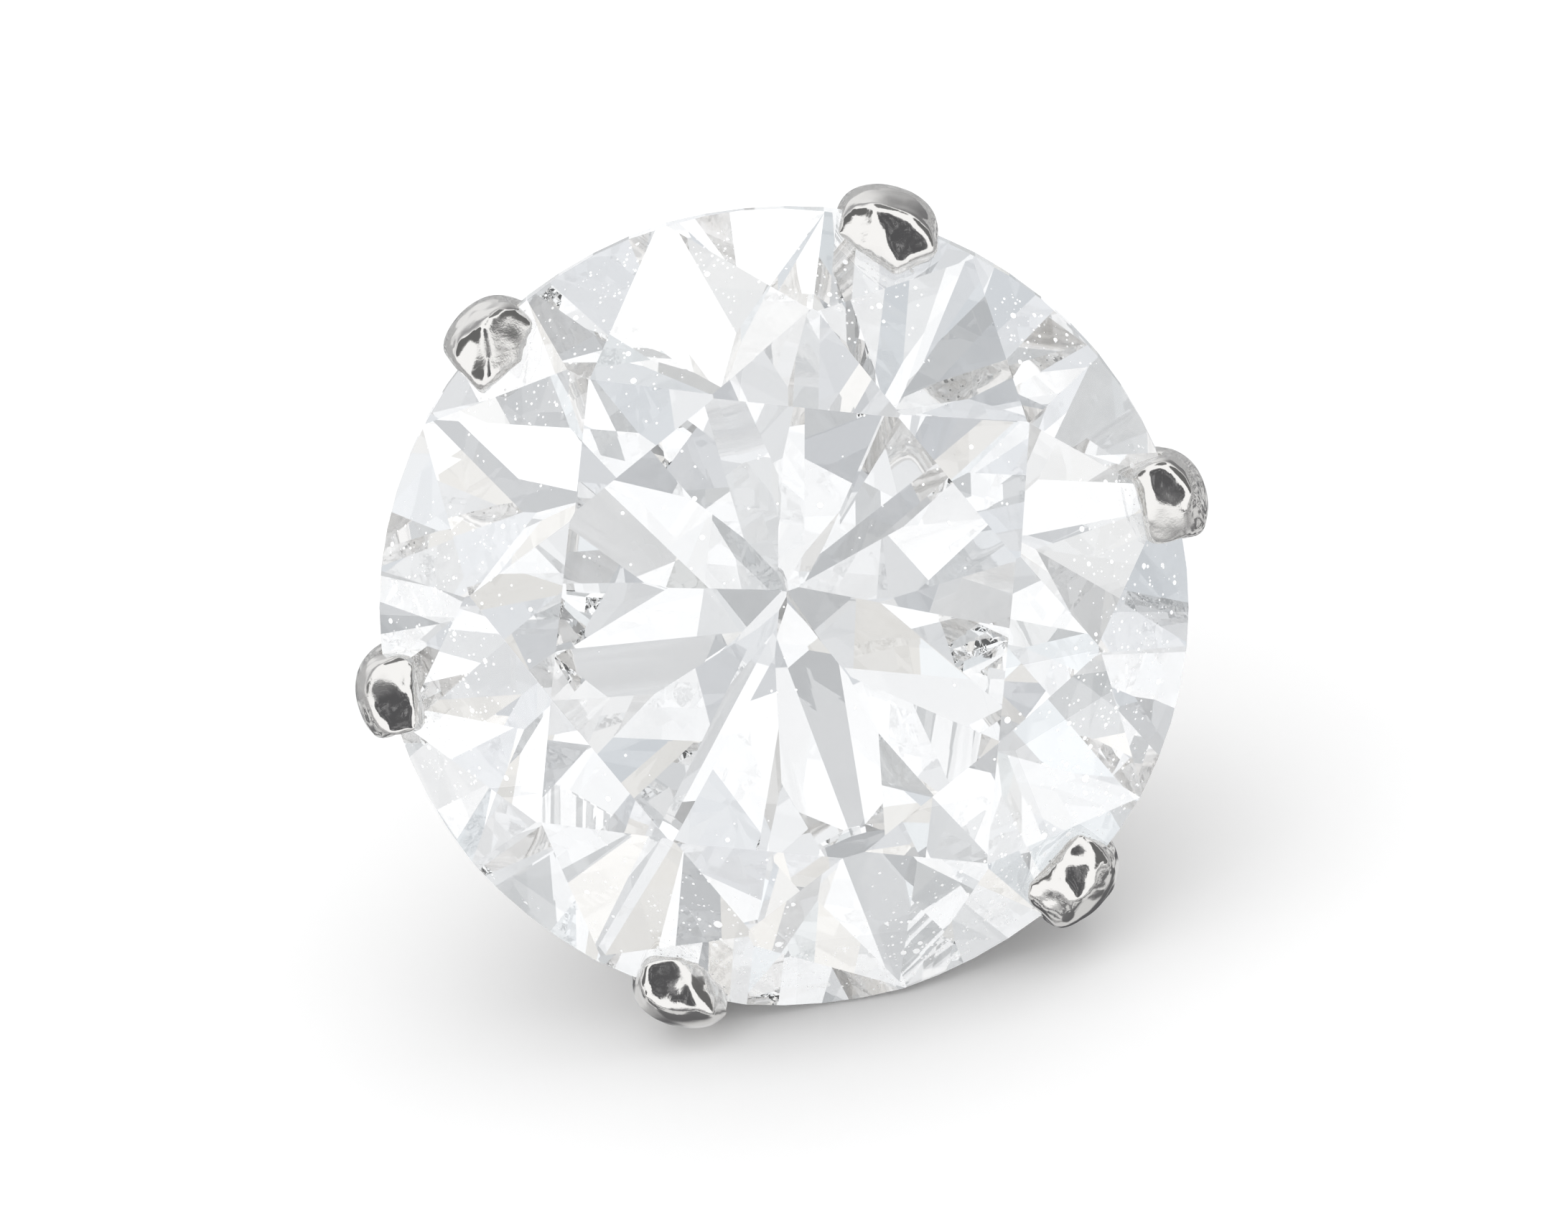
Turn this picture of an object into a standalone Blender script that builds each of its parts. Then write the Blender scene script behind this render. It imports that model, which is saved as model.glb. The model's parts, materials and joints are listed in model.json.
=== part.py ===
"""A stud earring: a round brilliant stone in a six-claw white metal setting with a straight ear post.

The earring is modelled upright in its own frame, with the stone's axis along +Z, the girdle's middle at the origin
and the table facing +Z. A last step lays it on its side, where it rests on a claw, the stone's edge and the post's tip.
"""

import math
from collections import namedtuple

import bmesh
import bpy
import numpy as np
from mathutils import Matrix, Vector

# The stone, a round brilliant with 57 facets and a tiny culet.
GIRDLE_DIAMETER = 0.0100
GIRDLE_THICKNESS = 0.00035
TABLE_WIDTH = 0.0060
CULET_WIDTH = 0.00006
CROWN_ANGLE = math.radians(36.0)
PAVILION_ANGLE = math.radians(41.0)
STAR_TIP_SHARE = 0.785
LOWER_HALF_SHARE = 0.77
STONE_TURN = math.radians(17.0)
FOLDS = 8
GIRDLE_SIDES = 64
FACET_WANDER = math.radians(0.45)
WANDER_SEED = 11

# The setting: claws that rise from a base plate, lean outwards and close over the girdle.
SEAT_CLEARANCE = 0.00005
CLAW_WIDTH = 0.0012
CLAW_THICKNESS = 0.00085
CLAW_OVERHANG = 0.00042
CLAW_LEAN = math.radians(32.0)
CLAW_BEND_RADIUS = 0.0015
CLAW_CLOSE = math.radians(26.0)
CLAW_TIP_LENGTH = 0.00038
CLAW_OUTER_POWER = 2.1
CLAW_INNER_POWER = 3.4
CLAW_SIDES = 20
BEND_STEPS = 9
TIP_STEPS = 5
GALLERY_DROP = 0.0023
GALLERY_WIDTH = 0.0006
GALLERY_HEIGHT = 0.0006
GALLERY_WIRE_SIDES = 14
RING_SIDES = 72
BASE_CLEARANCE = 0.00055
BASE_DIAMETER = 0.0050
BASE_THICKNESS = 0.0006
BASE_EDGE_RADIUS = 0.0002
POST_DIAMETER = 0.0009
POST_LENGTH = 0.0100
POST_FILLET = 0.00025
POST_NOTCH_DEPTH = 0.00008
POST_NOTCH_WIDTH = 0.0006
POST_NOTCH_FROM_TIP = 0.0020
POST_TIP_RADIUS = 0.0003
POST_SIDES = 32
ARC_STEPS = 5

# One row for each claw, anticlockwise from the right as seen from the front: where it stands, its width as a share
# of CLAW_WIDTH, how far it closes as a share of CLAW_CLOSE, and how far its tip leans sideways.
Claw = namedtuple("Claw", "angle width close sway")
CLAWS = (
    Claw(angle=16.0, width=0.96, close=0.92, sway=-3.0),
    Claw(angle=75.1, width=1.04, close=1.08, sway=4.0),
    Claw(angle=137.9, width=1.00, close=0.98, sway=6.0),
    Claw(angle=192.7, width=0.94, close=0.90, sway=-2.0),
    Claw(angle=255.0, width=1.00, close=1.02, sway=-5.0),
    Claw(angle=316.3, width=1.06, close=1.10, sway=3.0),
)

# The side that faces down when the earring lies on a table, anticlockwise from the right as seen from the front.
UNDERSIDE = math.radians(278.0)
HULL_SCALE = 1000.0

STONE_RADIUS = GIRDLE_DIAMETER / 2
GIRDLE_TOP = GIRDLE_THICKNESS / 2
TABLE_HEIGHT = GIRDLE_TOP + (STONE_RADIUS - TABLE_WIDTH / 2) * math.tan(CROWN_ANGLE)
CULET_DEPTH = GIRDLE_TOP + STONE_RADIUS * math.tan(PAVILION_ANGLE)
BASE_TOP = -CULET_DEPTH - BASE_CLEARANCE
BASE_BACK = BASE_TOP - BASE_THICKNESS
POST_END = BASE_BACK - POST_LENGTH


def clear_scene():
    for obj in list(bpy.data.objects):
        bpy.data.objects.remove(obj)


def principled(name, colour, roughness, metallic=0.0, transmission=0.0, ior=1.5):
    material = bpy.data.materials.new(name)
    material.use_nodes = True
    shader = material.node_tree.nodes["Principled BSDF"]
    shader.inputs["Base Color"].default_value = (*colour, 1.0)
    shader.inputs["Roughness"].default_value = roughness
    shader.inputs["Metallic"].default_value = metallic
    shader.inputs["Transmission Weight"].default_value = transmission
    shader.inputs["IOR"].default_value = ior
    return material


def add_object(name, shape, material=None):
    mesh = bpy.data.meshes.new(name)
    shape.to_mesh(mesh)
    shape.free()
    obj = bpy.data.objects.new(name, mesh)
    bpy.context.scene.collection.objects.link(obj)
    if material:
        mesh.materials.append(material)
    return obj


def ring_point(radius, azimuth, height):
    return Vector((radius * math.cos(azimuth), radius * math.sin(azimuth), height))


def facet_planes():
    """Each facet as (a point on it, its outward normal), from the three points that a cutter would aim at."""
    half_step = math.pi / FOLDS
    star_radius = STAR_TIP_SHARE * STONE_RADIUS
    star_height = GIRDLE_TOP + (STONE_RADIUS - star_radius * math.cos(half_step)) * math.tan(CROWN_ANGLE)
    half_radius = (1 - LOWER_HALF_SHARE) * STONE_RADIUS
    half_height = -GIRDLE_TOP - (STONE_RADIUS - half_radius * math.cos(half_step)) * math.tan(PAVILION_ANGLE)
    culet_height = -CULET_DEPTH + CULET_WIDTH / 2 * math.tan(PAVILION_ANGLE)
    table_radius = TABLE_WIDTH / 2
    aims = []
    for fold in range(FOLDS):
        azimuth = STONE_TURN + 2 * half_step * fold
        upper = ring_point(STONE_RADIUS, azimuth, GIRDLE_TOP)
        lower = ring_point(STONE_RADIUS, azimuth, -GIRDLE_TOP)
        across = ring_point(1.0, azimuth + math.pi / 2, 0.0) * STONE_RADIUS
        aims.append((upper, upper + across, ring_point(table_radius, azimuth, TABLE_HEIGHT)))
        aims.append((lower, lower + across, Vector((0.0, 0.0, -CULET_DEPTH))))
        for side in (-1, 1):
            middle = azimuth + side * half_step
            star_tip = ring_point(star_radius, middle, star_height)
            aims.append((upper, star_tip, ring_point(STONE_RADIUS, middle, GIRDLE_TOP)))
            lower_tip = ring_point(half_radius, middle, half_height)
            aims.append((lower, lower_tip, ring_point(STONE_RADIUS, middle, -GIRDLE_TOP)))
        corners = [ring_point(table_radius, azimuth + turn, TABLE_HEIGHT) for turn in (0, 2 * half_step)]
        aims.append((*corners, ring_point(star_radius, azimuth + half_step, star_height)))
    wander = np.random.default_rng(WANDER_SEED)
    planes = [
        (Vector((0.0, 0.0, TABLE_HEIGHT)), Vector((0.0, 0.0, 1.0))),
        (Vector((0.0, 0.0, culet_height)), Vector((0.0, 0.0, -1.0))),
    ]
    for aim in aims:
        centre = (aim[0] + aim[1] + aim[2]) / 3
        normal = (aim[1] - aim[0]).cross(aim[2] - aim[0]).normalized()
        if normal.dot(centre) < 0:
            normal.negate()
        tilt, turn = wander.normal(0.0, FACET_WANDER, 2).clip(-2 * FACET_WANDER, 2 * FACET_WANDER)
        sideways = normal.cross(Vector((0.0, 0.0, 1.0))).normalized()
        normal.rotate(Matrix.Rotation(tilt, 3, sideways) @ Matrix.Rotation(turn, 3, "Z"))
        planes.append((centre, normal))
    return planes


def cut_stone(grow=0.0):
    """The stone, ground facet by facet from a round blank. Every face lies further out by grow."""
    shape = bmesh.new()
    length = (TABLE_HEIGHT + CULET_DEPTH) * 1.2
    bmesh.ops.create_cone(
        shape,
        cap_ends=True,
        segments=GIRDLE_SIDES,
        radius1=STONE_RADIUS + grow,
        radius2=STONE_RADIUS + grow,
        depth=2 * length,
    )
    for point, normal in facet_planes():
        cut = bmesh.ops.bisect_plane(
            shape,
            geom=shape.verts[:] + shape.edges[:] + shape.faces[:],
            dist=1e-8,
            plane_co=point + normal * grow,
            plane_no=normal,
            clear_outer=True,
        )
        rim = [part for part in cut["geom_cut"] if isinstance(part, bmesh.types.BMEdge)]
        if rim:
            bmesh.ops.edgeloop_fill(shape, edges=rim)
    bmesh.ops.remove_doubles(shape, verts=shape.verts[:], dist=1e-7)
    bmesh.ops.recalc_face_normals(shape, faces=shape.faces[:])
    return shape


def arc(centre, radius, start, end, steps=ARC_STEPS):
    """Points (radius, height) of an arc in a half plane through the axis, its two ends included."""
    turns = [start + (end - start) * step / steps for step in range(steps + 1)]
    return [(centre[0] + radius * math.cos(turn), centre[1] + radius * math.sin(turn)) for turn in turns]


def turned(profile, sides, closed=False):
    """A body turned on the lathe about Z from (radius, height) points. An open profile starts and ends on the axis."""
    shape = bmesh.new()
    points = [shape.verts.new((radius, 0.0, height)) for radius, height in profile]
    ends = zip(points, points[1:] + points[:1] if closed else points[1:])
    edges = [shape.edges.new(pair) for pair in ends]
    bmesh.ops.spin(
        shape,
        geom=points + edges,
        cent=(0.0, 0.0, 0.0),
        axis=(0.0, 0.0, 1.0),
        angle=2 * math.pi,
        steps=sides,
        use_merge=True,
    )
    bmesh.ops.remove_doubles(shape, verts=shape.verts[:], dist=1e-7)
    bmesh.ops.recalc_face_normals(shape, faces=shape.faces[:])
    return shape


def post_and_base():
    """The base plate under the culet and the ear post soldered to its back, turned as one."""
    base_radius = BASE_DIAMETER / 2
    post_radius = POST_DIAMETER / 2
    edge = BASE_EDGE_RADIUS
    notch_height = POST_END + POST_NOTCH_FROM_TIP
    notch_half = POST_NOTCH_WIDTH / 2
    groove_radius = (notch_half**2 + POST_NOTCH_DEPTH**2) / (2 * POST_NOTCH_DEPTH)
    groove_turn = math.asin(notch_half / groove_radius)
    groove_centre = (post_radius - POST_NOTCH_DEPTH + groove_radius, notch_height)
    fillet_centre = (post_radius + POST_FILLET, BASE_BACK - POST_FILLET)
    tip_centre = (post_radius - POST_TIP_RADIUS, POST_END + POST_TIP_RADIUS)
    profile = [
        (0.0, BASE_TOP),
        *arc((base_radius - edge, BASE_TOP - edge), edge, math.pi / 2, 0.0),
        *arc((base_radius - edge, BASE_BACK + edge), edge, 0.0, -math.pi / 2),
        *arc(fillet_centre, POST_FILLET, math.pi / 2, math.pi),
        *arc(groove_centre, groove_radius, math.pi - groove_turn, math.pi + groove_turn),
        *arc(tip_centre, POST_TIP_RADIUS, 0.0, -math.pi / 2),
        (0.0, POST_END),
    ]
    return turned(profile, POST_SIDES)


def claw_leg_radius(height):
    """How far a claw's centre line stands from the axis at a height on its straight leg."""
    centre_radius = STONE_RADIUS + CLAW_OVERHANG - CLAW_THICKNESS / 2 - CLAW_BEND_RADIUS
    leg_top = -CLAW_BEND_RADIUS * math.sin(CLAW_LEAN)
    return centre_radius + CLAW_BEND_RADIUS * math.cos(CLAW_LEAN) + (height - leg_top) * math.tan(CLAW_LEAN)


def gallery():
    """The rail that ties the claws together under the girdle."""
    half_width, half_height = GALLERY_WIDTH / 2, GALLERY_HEIGHT / 2
    middle = claw_leg_radius(-GALLERY_DROP) - CLAW_THICKNESS / 2 + half_width
    profile = [
        (middle + half_width * math.cos(turn), -GALLERY_DROP + half_height * math.sin(turn))
        for turn in (2 * math.pi * side / GALLERY_WIRE_SIDES for side in range(GALLERY_WIRE_SIDES))
    ]
    return turned(profile, RING_SIDES, closed=True)


def claw_stations(claw):
    """(radius, height, lean, share of the full section) along a claw's centre line, from the base to its tip."""
    centre_radius = STONE_RADIUS + CLAW_OVERHANG - CLAW_THICKNESS / 2 - CLAW_BEND_RADIUS
    leg_foot = (BASE_TOP + BASE_BACK) / 2
    last_lean = -CLAW_CLOSE * claw.close
    stations = [(claw_leg_radius(leg_foot), leg_foot, CLAW_LEAN, 1.0)]
    for step in range(BEND_STEPS + 1):
        lean = CLAW_LEAN + (last_lean - CLAW_LEAN) * step / BEND_STEPS
        radius = centre_radius + CLAW_BEND_RADIUS * math.cos(lean)
        stations.append((radius, -CLAW_BEND_RADIUS * math.sin(lean), lean, 1.0))
    end_radius, end_height = stations[-1][:2]
    for step in range(1, TIP_STEPS + 1):
        turn = math.pi / 2 * step / (TIP_STEPS + 1)
        run = CLAW_TIP_LENGTH * math.sin(turn)
        radius = end_radius + run * math.sin(last_lean)
        stations.append((radius, end_height + run * math.cos(last_lean), last_lean, math.cos(turn)))
    return stations


def claw_section(turn):
    """A point of a claw's section, two units wide, at an angle: round outside and nearly square inside."""
    across, along = math.cos(turn), math.sin(turn)
    power = 2 / (CLAW_OUTER_POWER if across > 0 else CLAW_INNER_POWER)
    return math.copysign(abs(across) ** power, across), math.copysign(abs(along) ** power, along)


def claw_shape(claw):
    """One claw, swept from the base to its rounded tip. It still fills the stone's seat, which is cut afterwards."""
    shape = bmesh.new()
    stations = claw_stations(claw)
    half_width = CLAW_WIDTH * claw.width / 2
    half_thickness = CLAW_THICKNESS / 2
    loops = []
    for radius, height, lean, share in stations:
        sway = math.radians(claw.sway) * max(0.0, CLAW_LEAN - lean) / (CLAW_LEAN + CLAW_CLOSE)
        spin = Matrix.Rotation(math.radians(claw.angle), 3, "Z") @ Matrix.Rotation(sway, 3, "X")
        loop = []
        for side in range(CLAW_SIDES):
            across, along = claw_section(2 * math.pi * (side + 0.5) / CLAW_SIDES)
            outwards = radius + half_thickness * share * across * math.cos(lean)
            upwards = height - half_thickness * share * across * math.sin(lean)
            point = Vector((outwards, half_width * share * along, upwards))
            loop.append(shape.verts.new(spin @ point))
        loops.append([shape.edges.new(pair) for pair in zip(loop, loop[1:] + loop[:1])])
    for lower, upper in zip(loops, loops[1:]):
        bmesh.ops.bridge_loops(shape, edges=lower + upper)
    for end in (loops[0], loops[-1]):
        bmesh.ops.edgeloop_fill(shape, edges=end)
    bmesh.ops.recalc_face_normals(shape, faces=shape.faces[:])
    return shape


def points_of(shape):
    return np.array([vertex.co for vertex in shape.verts])


def resting_side(points):
    """Which way is down when the earring lies still: across the hull's face, under head and post, by UNDERSIDE."""
    hull = bmesh.new()
    for point in points * HULL_SCALE:
        hull.verts.new(point)
    bmesh.ops.convex_hull(hull, input=hull.verts[:])
    bmesh.ops.recalc_face_normals(hull, faces=hull.faces[:])
    outwards = ring_point(1.0, UNDERSIDE, 0.0)
    under_post = (face for face in hull.faces if min(vert.co.z for vert in face.verts) < BASE_BACK * HULL_SCALE)
    down = max(under_post, key=lambda face: face.normal.dot(outwards)).normal.copy()
    hull.free()
    return down


def lying_matrix(points):
    """The placement that lays the earring on its side on a table at Z = 0, its post pointing to +Y."""
    up = -resting_side(points)
    forwards = (Vector((0.0, 0.0, 1.0)) - up * up.z).normalized()
    right = up.cross(forwards)
    turn = Matrix((right, -forwards, up))
    placed = points @ np.array(turn).T
    low, high = placed.min(axis=0), placed.max(axis=0)
    shift = Vector((-(low[0] + high[0]) / 2, -(low[1] + high[1]) / 2, -low[2]))
    return Matrix.Translation(shift) @ turn.to_4x4()


def boolean(obj, operation, operand):
    modifier = obj.modifiers.new(operation.title(), "BOOLEAN")
    modifier.operation = operation
    modifier.solver = "EXACT"
    if isinstance(operand, bpy.types.Collection):
        modifier.operand_type = "COLLECTION"
        modifier.collection = operand
    else:
        modifier.object = operand
    return modifier


def as_helper(obj):
    obj.hide_render = True
    obj.display_type = "WIRE"


def build():
    clear_scene()
    diamond = principled("diamond", (0.98, 0.985, 1.0), 0.0, transmission=1.0, ior=2.417)
    white_metal = principled("white_metal", (0.79, 0.78, 0.76), 0.12, metallic=1.0)

    claws = [claw_shape(claw) for claw in CLAWS]
    back, rail, gem = post_and_base(), gallery(), cut_stone()
    earring = bpy.data.objects.new("earring", None)
    bpy.context.scene.collection.objects.link(earring)
    earring.matrix_world = lying_matrix(np.vstack([points_of(shape) for shape in (*claws, back, rail, gem)]))

    stone = add_object("round_stone", gem, diamond)
    setting = add_object("claw_setting", back, white_metal)
    soldered = bpy.data.collections.new("soldered_to_the_base")
    bpy.context.scene.collection.children.link(soldered)
    helpers = [add_object(f"claw_{index}", shape) for index, shape in enumerate(claws)]
    helpers.append(add_object("gallery", rail))
    for helper in helpers:
        bpy.context.scene.collection.objects.unlink(helper)
        soldered.objects.link(helper)
    seat = add_object("stone_seat", cut_stone(SEAT_CLEARANCE))
    boolean(setting, "UNION", soldered)
    boolean(setting, "DIFFERENCE", seat)
    for obj in (stone, setting, seat, *helpers):
        obj.parent = earring
    for helper in (seat, *helpers):
        as_helper(helper)
    setting.data.shade_smooth()
    setting.data.set_sharp_from_angle(angle=math.radians(40.0))


build()
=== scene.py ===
"""Stud earring: the finish of its stone and claw setting, on a pale floor in soft light.

The stone keeps the frame's solid and gets its material. The setting is modelled again with soldered joints,
soft edges and claw tips burnished by hand. It is modelled upright in millimetres, with the stone's axis along
+Z and the girdle's middle at the origin, and is then laid down as the frame's earring lies.
"""

import json
import math
from collections import namedtuple

import bmesh
import bpy
import numpy as np
from bpy.props import FloatProperty, FloatVectorProperty, PointerProperty
from bpy.types import Operator, Panel, PropertyGroup
from mathutils import Matrix, Vector, noise


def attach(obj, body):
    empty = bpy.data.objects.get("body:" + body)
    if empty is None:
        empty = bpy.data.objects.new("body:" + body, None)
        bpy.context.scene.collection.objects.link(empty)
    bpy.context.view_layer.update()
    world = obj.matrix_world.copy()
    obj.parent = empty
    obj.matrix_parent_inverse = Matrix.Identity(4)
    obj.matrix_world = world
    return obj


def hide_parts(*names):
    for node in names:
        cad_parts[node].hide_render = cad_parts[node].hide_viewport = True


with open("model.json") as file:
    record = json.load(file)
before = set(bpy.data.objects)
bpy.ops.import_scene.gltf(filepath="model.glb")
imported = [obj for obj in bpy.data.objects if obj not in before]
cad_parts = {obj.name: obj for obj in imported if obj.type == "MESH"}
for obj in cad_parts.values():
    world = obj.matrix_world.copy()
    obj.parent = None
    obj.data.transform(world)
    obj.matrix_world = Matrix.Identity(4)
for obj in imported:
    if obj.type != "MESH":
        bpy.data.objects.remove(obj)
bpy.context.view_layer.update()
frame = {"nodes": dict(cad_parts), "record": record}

bl_info = {
    "name": "Stud earring",
    "version": (1, 0, 0),
    "blender": (4, 5, 0),
    "location": "3D View > Sidebar > Earring",
    "description": "Finishes a claw-set stud earring and sets its stage",
    "category": "Object",
}

MM = 0.001

# The upright model's place in the frame. The table's mount faces along the stone's axis, and the ear face's
# mount stands off that axis towards the top of the head.
MOUNTS = {mount["name"]: mount for mount in frame["record"]["mounts"]}
AXIS = Vector(MOUNTS["table"]["axis"]).normalized()
TABLE_CENTRE = Vector(MOUNTS["table"]["pos_m"])
EAR_FACE = Vector(MOUNTS["ear_face"]["pos_m"]) - TABLE_CENTRE
TOP = (EAR_FACE - AXIS * EAR_FACE.dot(AXIS)).normalized()
TURN = Matrix((TOP.cross(AXIS), TOP, AXIS)).transposed()


def upright_points(node):
    """A node's points in millimetres, turned upright, with the table's centre at the origin."""
    mesh = frame["nodes"][node].data
    points = np.empty(len(mesh.vertices) * 3)
    mesh.vertices.foreach_get("co", points)
    return (points.reshape(-1, 3) - np.array(TABLE_CENTRE)) @ np.array(TURN) / MM


STONE_POINTS = upright_points("round_stone")
STONE_RADIUS = float(np.hypot(STONE_POINTS[:, 0], STONE_POINTS[:, 1]).max())
RIM_HEIGHTS = STONE_POINTS[np.hypot(STONE_POINTS[:, 0], STONE_POINTS[:, 1]) > STONE_RADIUS - 0.001, 2]
TABLE_HEIGHT = -float(RIM_HEIGHTS.max() + RIM_HEIGHTS.min()) / 2
GIRDLE_TOP = float(RIM_HEIGHTS.max() - RIM_HEIGHTS.min()) / 2
BASE_BACK = TABLE_HEIGHT + EAR_FACE.dot(AXIS) / MM
POST_END = TABLE_HEIGHT + float(upright_points("claw_setting")[:, 2].min())
GIRDLE_CENTRE = TABLE_CENTRE - AXIS * TABLE_HEIGHT * MM
LYING = Matrix.Translation(GIRDLE_CENTRE) @ TURN.to_4x4() @ Matrix.Scale(MM, 4)

# The claws, anticlockwise from the right as seen from the front: where each stands, its width as a share of
# the wire's, how far it closes as a share of the usual, and how far its tip leans sideways.
Claw = namedtuple("Claw", "angle width close sway")
CLAWS = (
    Claw(angle=16.0, width=0.96, close=0.92, sway=-3.0),
    Claw(angle=75.1, width=1.04, close=1.08, sway=4.0),
    Claw(angle=137.9, width=1.00, close=0.98, sway=6.0),
    Claw(angle=192.7, width=0.94, close=0.90, sway=-2.0),
    Claw(angle=255.0, width=1.00, close=1.02, sway=-5.0),
    Claw(angle=316.3, width=1.06, close=1.10, sway=3.0),
)

# The flats that the pusher and the file leave on each claw's tip: the way a flat faces, anticlockwise from
# straight outwards as seen from the front, its rise towards the front, and how far it lies from the girdle's
# edge at the claw.
Flat = namedtuple("Flat", "claw turn rise reach")
FLATS = (
    Flat(claw=16.0, turn=180, rise=15, reach=0.56),
    Flat(claw=16.0, turn=-95, rise=5, reach=0.50),
    Flat(claw=16.0, turn=40, rise=76, reach=0.78),
    Flat(claw=16.0, turn=168, rise=64, reach=0.82),
    Flat(claw=16.0, turn=-118, rise=74, reach=0.77),
    Flat(claw=16.0, turn=-30, rise=34, reach=0.58),
    Flat(claw=75.1, turn=158, rise=15, reach=0.57),
    Flat(claw=75.1, turn=-139, rise=15, reach=0.70),
    Flat(claw=75.1, turn=10, rise=79, reach=0.78),
    Flat(claw=75.1, turn=105, rise=64, reach=0.75),
    Flat(claw=137.9, turn=173, rise=15, reach=0.59),
    Flat(claw=137.9, turn=82, rise=8, reach=0.48),
    Flat(claw=137.9, turn=36, rise=64, reach=0.75),
    Flat(claw=137.9, turn=-118, rise=58, reach=0.75),
    Flat(claw=192.7, turn=175, rise=15, reach=0.53),
    Flat(claw=192.7, turn=92, rise=5, reach=0.46),
    Flat(claw=192.7, turn=-100, rise=78, reach=0.78),
    Flat(claw=192.7, turn=-130, rise=62, reach=0.78),
    Flat(claw=255.0, turn=126, rise=25, reach=0.66),
    Flat(claw=255.0, turn=-151, rise=15, reach=0.74),
    Flat(claw=255.0, turn=-150, rise=79, reach=0.82),
    Flat(claw=255.0, turn=150, rise=58, reach=0.80),
    Flat(claw=255.0, turn=15, rise=62, reach=0.80),
    Flat(claw=316.3, turn=180, rise=20, reach=0.66),
    Flat(claw=316.3, turn=-92, rise=10, reach=0.62),
    Flat(claw=316.3, turn=120, rise=70, reach=0.80),
    Flat(claw=316.3, turn=-120, rise=66, reach=0.78),
    Flat(claw=316.3, turn=-15, rise=48, reach=0.72),
    Flat(claw=316.3, turn=50, rise=55, reach=0.74),
)

# A claw's section is round outside and nearly square inside, as the powers of two half superellipses.
OUTER_POWER, INNER_POWER = 2.1, 3.4
CLAW_SIDES, BEND_STEPS, TIP_STEPS = 40, 24, 9
POST_SIDES, RAIL_SIDES, RAIL_WIRE_SIDES = 64, 120, 24

# The rounding of the base plate's edge, of the corner behind it and of the post's tip, and the groove for the
# clutch.
EDGE_RADIUS, FILLET, POST_TIP_RADIUS = 0.2, 0.25, 0.3
NOTCH_DEPTH, NOTCH_WIDTH, NOTCH_FROM_TIP = 0.08, 0.6, 2.0

# The room between the stone and its seat, and how near two points lie that are one.
SEAT_GAP = 0.012
MERGE_GAP = 1e-5

# The heights above the girdle where burnishing starts and is full, and its coarse and fine waves: how many of
# them go to the millimetre, how deep they are, and the shift that sets the fine pattern apart.
BURNISH_FROM, BURNISH_FULL = 0.0, 0.3
COARSE_WAVES, COARSE_DEPTH = 2.2, 0.030
FINE_WAVES, FINE_DEPTH = 4.5, 0.017
FINE_SHIFT = Vector((9, 4, 1))

# Dust gathers beside each claw: how far out as a share of the stone's radius, how high above the girdle, and
# how far from there it is still full and has ended.
DUST_OUT, DUST_HEIGHT, DUST_FULL, DUST_END = 0.86, 0.9, 0.35, 0.9

# The specks of dust: the size of the cells that hold at most one each, the share of them that do where the
# dust is full, and the greatest radius.
Speck = namedtuple("Speck", "cell share radius")
SPECKS = (
    Speck(cell=0.06, share=0.55, radius=0.016),
    Speck(cell=0.15, share=0.6, radius=0.030),
    Speck(cell=0.31, share=0.5, radius=0.046),
)

# The floor's half width in metres, the photo's pixels, the camera's sensor in millimetres, and how often
# light may turn back inside the stone.
FLOOR_HALF = 3.0
PHOTO_WIDTH, PHOTO_HEIGHT = 2184, 1690
SENSOR_WIDTH = 36.0
BOUNCES = 64


class Tree:
    """The nodes of a material or a world."""

    def __init__(self, owner):
        owner.use_nodes = True
        self.nodes, self.links = owner.node_tree.nodes, owner.node_tree.links
        self.nodes.clear()

    def node(self, kind, settings=None, **sockets):
        """A node with its settings and the values or links of its sockets, by name, or by number as i0."""
        node = self.nodes.new("ShaderNode" + kind)
        for name, value in (settings or {}).items():
            setattr(node, name, value)
        for name, value in sockets.items():
            place = int(name[1:]) if name[1:].isdigit() else name.replace("_", " ")
            source = getattr(value, "socket", value)
            if isinstance(source, bpy.types.NodeSocket):
                self.links.new(source, node.inputs[place])
            else:
                node.inputs[place].default_value = source
        return node

    def value(self, kind, settings=None, output=0, **sockets):
        """The number that such a node gives."""
        return Value(self, self.node(kind, settings, **sockets).outputs[output])

    def mix(self, factor, first, second):
        """A blend of two colours."""
        return self.node("Mix", {"data_type": "RGBA"}, i0=factor, i6=first, i7=second).outputs[2]

    def vector(self, operation, first, second):
        """Vector maths on two vectors."""
        return self.node("VectorMath", {"operation": operation}, i0=first, i1=second).outputs[0]

    def measure(self, operation, *vectors):
        """The number that vector maths gives, such as a dot product, a distance or a length."""
        sockets = {f"i{place}": vector for place, vector in enumerate(vectors)}
        return self.value("VectorMath", {"operation": operation}, output="Value", **sockets)

    def dot(self, first, second):
        return self.measure("DOT_PRODUCT", first, second)


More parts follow.
